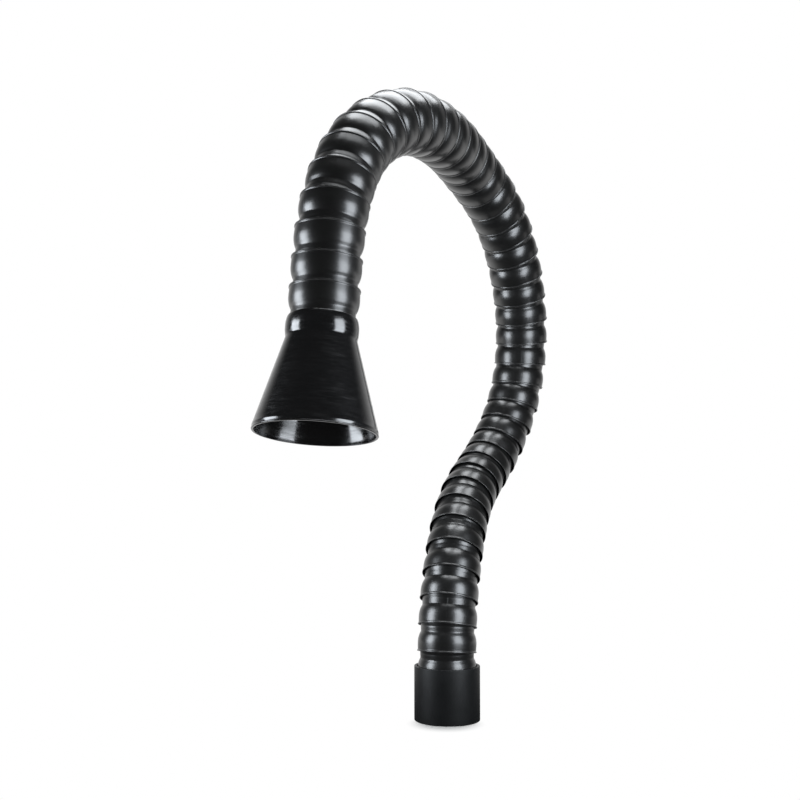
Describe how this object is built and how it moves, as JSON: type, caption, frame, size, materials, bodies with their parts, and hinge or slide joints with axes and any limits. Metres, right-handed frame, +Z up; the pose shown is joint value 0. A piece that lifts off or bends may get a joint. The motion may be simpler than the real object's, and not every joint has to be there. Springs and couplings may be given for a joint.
{
  "type": "fume extraction arm",
  "caption": "Stay-put extraction arm of black ball-and-socket segments on a collar, bent in an arch, with a funnel-shaped inlet nozzle at its free end.",
  "frame": {"origin": "centre of the collar's lower end, on the collar's axis", "axes": "+Z up along the collar's axis; +X to the right and +Y away from the viewer of the picture"},
  "size_m": [0.2585, 0.4025, 0.5385],
  "materials": {
    "collar_plastic": "matt",
    "segment_plastic": "satin",
    "nozzle_plastic": "gloss"
  },
  "bodies": {
    "base": {"base_collar": "collar_plastic", "segment_01": "segment_plastic"},
    "segment_02": {"segment_02": "segment_plastic"},
    "segment_03": {"segment_03": "segment_plastic"},
    "segment_04": {"segment_04": "segment_plastic"},
    "segment_05": {"segment_05": "segment_plastic"},
    "segment_06": {"segment_06": "segment_plastic"},
    "segment_07": {"segment_07": "segment_plastic"},
    "segment_08": {"segment_08": "segment_plastic"},
    "segment_09": {"segment_09": "segment_plastic"},
    "segment_10": {"segment_10": "segment_plastic"},
    "segment_11": {"segment_11": "segment_plastic"},
    "segment_12": {"segment_12": "segment_plastic"},
    "segment_13": {"segment_13": "segment_plastic"},
    "segment_14": {"segment_14": "segment_plastic"},
    "segment_15": {"segment_15": "segment_plastic"},
    "segment_16": {"segment_16": "segment_plastic"},
    "segment_17": {"segment_17": "segment_plastic"},
    "segment_18": {"segment_18": "segment_plastic"},
    "segment_19": {"segment_19": "segment_plastic"},
    "segment_20": {"segment_20": "segment_plastic"},
    "segment_21": {"segment_21": "segment_plastic"},
    "segment_22": {"segment_22": "segment_plastic"},
    "segment_23": {"segment_23": "segment_plastic"},
    "segment_24": {"segment_24": "segment_plastic"},
    "segment_25": {"segment_25": "segment_plastic"},
    "segment_26": {"segment_26": "segment_plastic"},
    "segment_27": {"segment_27": "segment_plastic"},
    "segment_28": {"segment_28": "segment_plastic"},
    "segment_29": {"segment_29": "segment_plastic"},
    "segment_30": {"segment_30": "segment_plastic"},
    "segment_31": {"segment_31": "segment_plastic"},
    "segment_32": {"segment_32": "segment_plastic"},
    "segment_33": {"segment_33": "segment_plastic"},
    "segment_34": {"segment_34": "segment_plastic"},
    "segment_35": {"segment_35": "segment_plastic"},
    "segment_36": {"segment_36": "segment_plastic"},
    "segment_37": {"segment_37": "segment_plastic"},
    "segment_38": {"segment_38": "segment_plastic"},
    "segment_39": {"segment_39": "segment_plastic"},
    "segment_40": {"segment_40": "segment_plastic"},
    "segment_41": {"segment_41": "segment_plastic"},
    "segment_42": {"segment_42": "segment_plastic"},
    "nozzle": {"funnel_nozzle": "nozzle_plastic"}
  },
  "joints": [
    {"name": "segment_02_swivel", "type": "hinge", "parent": "base", "child": "segment_02", "pos_m": [0, 0, 0.06598], "axis": [0, 0, 1], "continuous": true},
    {"name": "segment_03_nod", "type": "hinge", "parent": "segment_02", "child": "segment_03", "pos_m": [0.00088, 0.00247, 0.08831], "axis": [0.9992, -0.0021, -0.039], "range_deg": [-5, 18]},
    {"name": "segment_04_sway", "type": "hinge", "parent": "segment_03", "child": "segment_04", "pos_m": [0.00262, 0.00738, 0.11018], "axis": [-0.0086, 0.9758, -0.2184], "range_deg": [-12, 7.5]},
    {"name": "segment_05_nod", "type": "hinge", "parent": "segment_04", "child": "segment_05", "pos_m": [0.00521, 0.01469, 0.13128], "axis": [0.9931, -0.0193, -0.1152], "range_deg": [-4, 19]},
    {"name": "segment_06_sway", "type": "hinge", "parent": "segment_05", "child": "segment_06", "pos_m": [0.00858, 0.02467, 0.15114], "axis": [-0.0366, 0.8955, -0.4436], "range_deg": [-11, 6.5]},
    {"name": "segment_07_nod", "type": "hinge", "parent": "segment_06", "child": "segment_07", "pos_m": [0.01272, 0.03726, 0.1693], "axis": [-0.9812, 0.0548, 0.1852], "range_deg": [-17.5, 5]},
    {"name": "segment_08_sway", "type": "hinge", "parent": "segment_07", "child": "segment_08", "pos_m": [0.01775, 0.05171, 0.18577], "axis": [0.0816, -0.7614, 0.6431], "range_deg": [-6.5, 15]},
    {"name": "segment_09_nod", "type": "hinge", "parent": "segment_08", "child": "segment_09", "pos_m": [0.02418, 0.06733, 0.2006], "axis": [-0.9528, 0.1325, 0.2732], "range_deg": [-14, 7.5]},
    {"name": "segment_10_sway", "type": "hinge", "parent": "segment_09", "child": "segment_10", "pos_m": [0.03218, 0.08354, 0.21396], "axis": [0.1208, -0.6663, 0.7359], "range_deg": [-8.5, 15]},
    {"name": "segment_11_nod", "type": "hinge", "parent": "segment_10", "child": "segment_11", "pos_m": [0.0413, 0.09944, 0.22698], "axis": [-0.9063, 0.2284, 0.3557], "range_deg": [-6, 17.5]},
    {"name": "segment_12_sway", "type": "hinge", "parent": "segment_11", "child": "segment_12", "pos_m": [0.05083, 0.11368, 0.24154], "axis": [0.077, -0.7374, 0.671], "range_deg": [-8, 6]},
    {"name": "segment_13_nod", "type": "hinge", "parent": "segment_12", "child": "segment_13", "pos_m": [0.06013, 0.12509, 0.25853], "axis": [-0.9104, 0.2237, 0.348], "range_deg": [-2.5, 21]},
    {"name": "segment_14_sway", "type": "hinge", "parent": "segment_13", "child": "segment_14", "pos_m": [0.06861, 0.13351, 0.27757], "axis": [-0.0565, -0.9035, 0.4248], "range_deg": [-11.5, 5]},
    {"name": "segment_15_nod", "type": "hinge", "parent": "segment_14", "child": "segment_15", "pos_m": [0.07558, 0.13909, 0.2982], "axis": [-0.9445, 0.1899, 0.268], "range_deg": [-2, 20]},
    {"name": "segment_16_sway", "type": "hinge", "parent": "segment_15", "child": "segment_16", "pos_m": [0.08044, 0.14164, 0.32], "axis": [-0.1484, -0.9779, 0.1475], "range_deg": [-12.5, 4]},
    {"name": "segment_17_nod", "type": "hinge", "parent": "segment_16", "child": "segment_17", "pos_m": [0.08318, 0.14125, 0.34231], "axis": [-0.9773, 0.1723, 0.123], "range_deg": [-3, 19.5]},
    {"name": "segment_18_sway", "type": "hinge", "parent": "segment_17", "child": "segment_18", "pos_m": [0.08399, 0.13799, 0.36454], "axis": [-0.1843, -0.9734, -0.1363], "range_deg": [-12, 5]},
    {"name": "segment_19_nod", "type": "hinge", "parent": "segment_18", "child": "segment_19", "pos_m": [0.08286, 0.13193, 0.38616], "axis": [0.9818, -0.19, -0.002], "range_deg": [-18.5, 4]},
    {"name": "segment_20_sway", "type": "hinge", "parent": "segment_19", "child": "segment_20", "pos_m": [0.07995, 0.12351, 0.4068], "axis": [0.172, 0.9034, 0.3928], "range_deg": [-7.5, 13.5]},
    {"name": "segment_21_nod", "type": "hinge", "parent": "segment_20", "child": "segment_21", "pos_m": [0.07554, 0.11336, 0.42637], "axis": [0.9681, -0.2302, 0.0989], "range_deg": [-16.5, 6.5]},
    {"name": "segment_22_sway", "type": "hinge", "parent": "segment_21", "child": "segment_22", "pos_m": [0.06975, 0.10184, 0.44478], "axis": [0.1358, 0.82, 0.556], "range_deg": [-7.5, 13.5]},
    {"name": "segment_23_nod", "type": "hinge", "parent": "segment_22", "child": "segment_23", "pos_m": [0.06255, 0.08894, 0.46173], "axis": [0.9412, -0.2836, 0.1838], "range_deg": [-17.5, 4.5]},
    {"name": "segment_24_sway", "type": "hinge", "parent": "segment_23", "child": "segment_24", "pos_m": [0.05368, 0.07469, 0.47667], "axis": [0.0685, 0.7011, 0.7098], "range_deg": [-5.5, 14]},
    {"name": "segment_25_nod", "type": "hinge", "parent": "segment_24", "child": "segment_25", "pos_m": [0.04318, 0.05921, 0.48915], "axis": [0.8841, -0.3751, 0.2788], "range_deg": [-18.5, 4.5]},
    {"name": "segment_26_sway", "type": "hinge", "parent": "segment_25", "child": "segment_26", "pos_m": [0.03182, 0.0425, 0.49901], "axis": [-0.045, 0.5306, 0.8464], "range_deg": [-9, 7.5]},
    {"name": "segment_27_nod", "type": "hinge", "parent": "segment_26", "child": "segment_27", "pos_m": [0.02097, 0.02413, 0.50609], "axis": [0.8679, -0.3982, 0.2968], "range_deg": [-20.5, 2.5]},
    {"name": "segment_28_sway", "type": "hinge", "parent": "segment_27", "child": "segment_28", "pos_m": [0.01147, 0.00417, 0.51016], "axis": [-0.1889, 0.2816, 0.9408], "range_deg": [-10, 8.5]},
    {"name": "segment_29_nod", "type": "hinge", "parent": "segment_28", "child": "segment_29", "pos_m": [0.00282, -0.01653, 0.51168], "axis": [0.8916, -0.3517, 0.2851], "range_deg": [-14.5, 8.5]},
    {"name": "segment_30_sway", "type": "hinge", "parent": "segment_29", "child": "segment_30", "pos_m": [-0.00634, -0.03706, 0.51178], "axis": [-0.26, 0.1206, 0.958], "range_deg": [-8, 15.5]},
    {"name": "segment_31_nod", "type": "hinge", "parent": "segment_30", "child": "segment_31", "pos_m": [-0.01669, -0.057, 0.51095], "axis": [-0.8458, 0.4506, -0.2855], "range_deg": [-8, 14]},
    {"name": "segment_32_sway", "type": "hinge", "parent": "segment_31", "child": "segment_32", "pos_m": [-0.02801, -0.07627, 0.50854], "axis": [0.2952, -0.0543, -0.9539], "range_deg": [-14, 5.5]},
    {"name": "segment_33_nod", "type": "hinge", "parent": "segment_32", "child": "segment_33", "pos_m": [-0.03982, -0.09465, 0.50321], "axis": [-0.7736, 0.5744, -0.2677], "range_deg": [-2.5, 19.5]},
    {"name": "segment_34_sway", "type": "hinge", "parent": "segment_33", "child": "segment_34", "pos_m": [-0.05163, -0.11161, 0.49438], "axis": [0.4334, 0.1602, -0.8869], "range_deg": [-11.5, 4.5]},
    {"name": "segment_35_nod", "type": "hinge", "parent": "segment_34", "child": "segment_35", "pos_m": [-0.06284, -0.12694, 0.48235], "axis": [-0.7007, 0.6805, -0.2143], "range_deg": [-3, 20.5]},
    {"name": "segment_36_sway", "type": "hinge", "parent": "segment_35", "child": "segment_36", "pos_m": [-0.07265, -0.1407, 0.46753], "axis": [0.5819, 0.3672, -0.7256], "range_deg": [-8, 6.5]},
    {"name": "segment_37_nod", "type": "hinge", "parent": "segment_36", "child": "segment_37", "pos_m": [-0.08044, -0.15268, 0.45017], "axis": [-0.6801, 0.7095, -0.1846], "range_deg": [-3, 20.5]},
    {"name": "segment_38_sway", "type": "hinge", "parent": "segment_37", "child": "segment_38", "pos_m": [-0.08635, -0.16254, 0.43085], "axis": [0.6923, 0.5348, -0.4844], "range_deg": [-11.5, 5]},
    {"name": "segment_39_nod", "type": "hinge", "parent": "segment_38", "child": "segment_39", "pos_m": [-0.09075, -0.16953, 0.40994], "axis": [-0.6585, 0.7445, -0.11], "range_deg": [-2.5, 19.5]},
    {"name": "segment_40_sway", "type": "hinge", "parent": "segment_39", "child": "segment_40", "pos_m": [-0.09377, -0.17327, 0.38798], "axis": [0.751, 0.626, -0.21], "range_deg": [-13, 8]},
    {"name": "segment_41_nod", "type": "hinge", "parent": "segment_40", "child": "segment_41", "pos_m": [-0.09573, -0.17484, 0.36564], "axis": [-0.6417, 0.767, 0.0023], "range_deg": [-10.5, 13]},
    {"name": "segment_42_sway", "type": "hinge", "parent": "segment_41", "child": "segment_42", "pos_m": [-0.09717, -0.17619, 0.34325], "axis": [0.7638, 0.6394, -0.0879], "range_deg": [-9.5, 13.5]},
    {"name": "nozzle_nod", "type": "hinge", "parent": "segment_42", "child": "nozzle", "pos_m": [-0.09848, -0.17843, 0.32092], "axis": [0.6443, -0.7638, 0.0388], "range_deg": [-8.5, 11]}
  ]
}
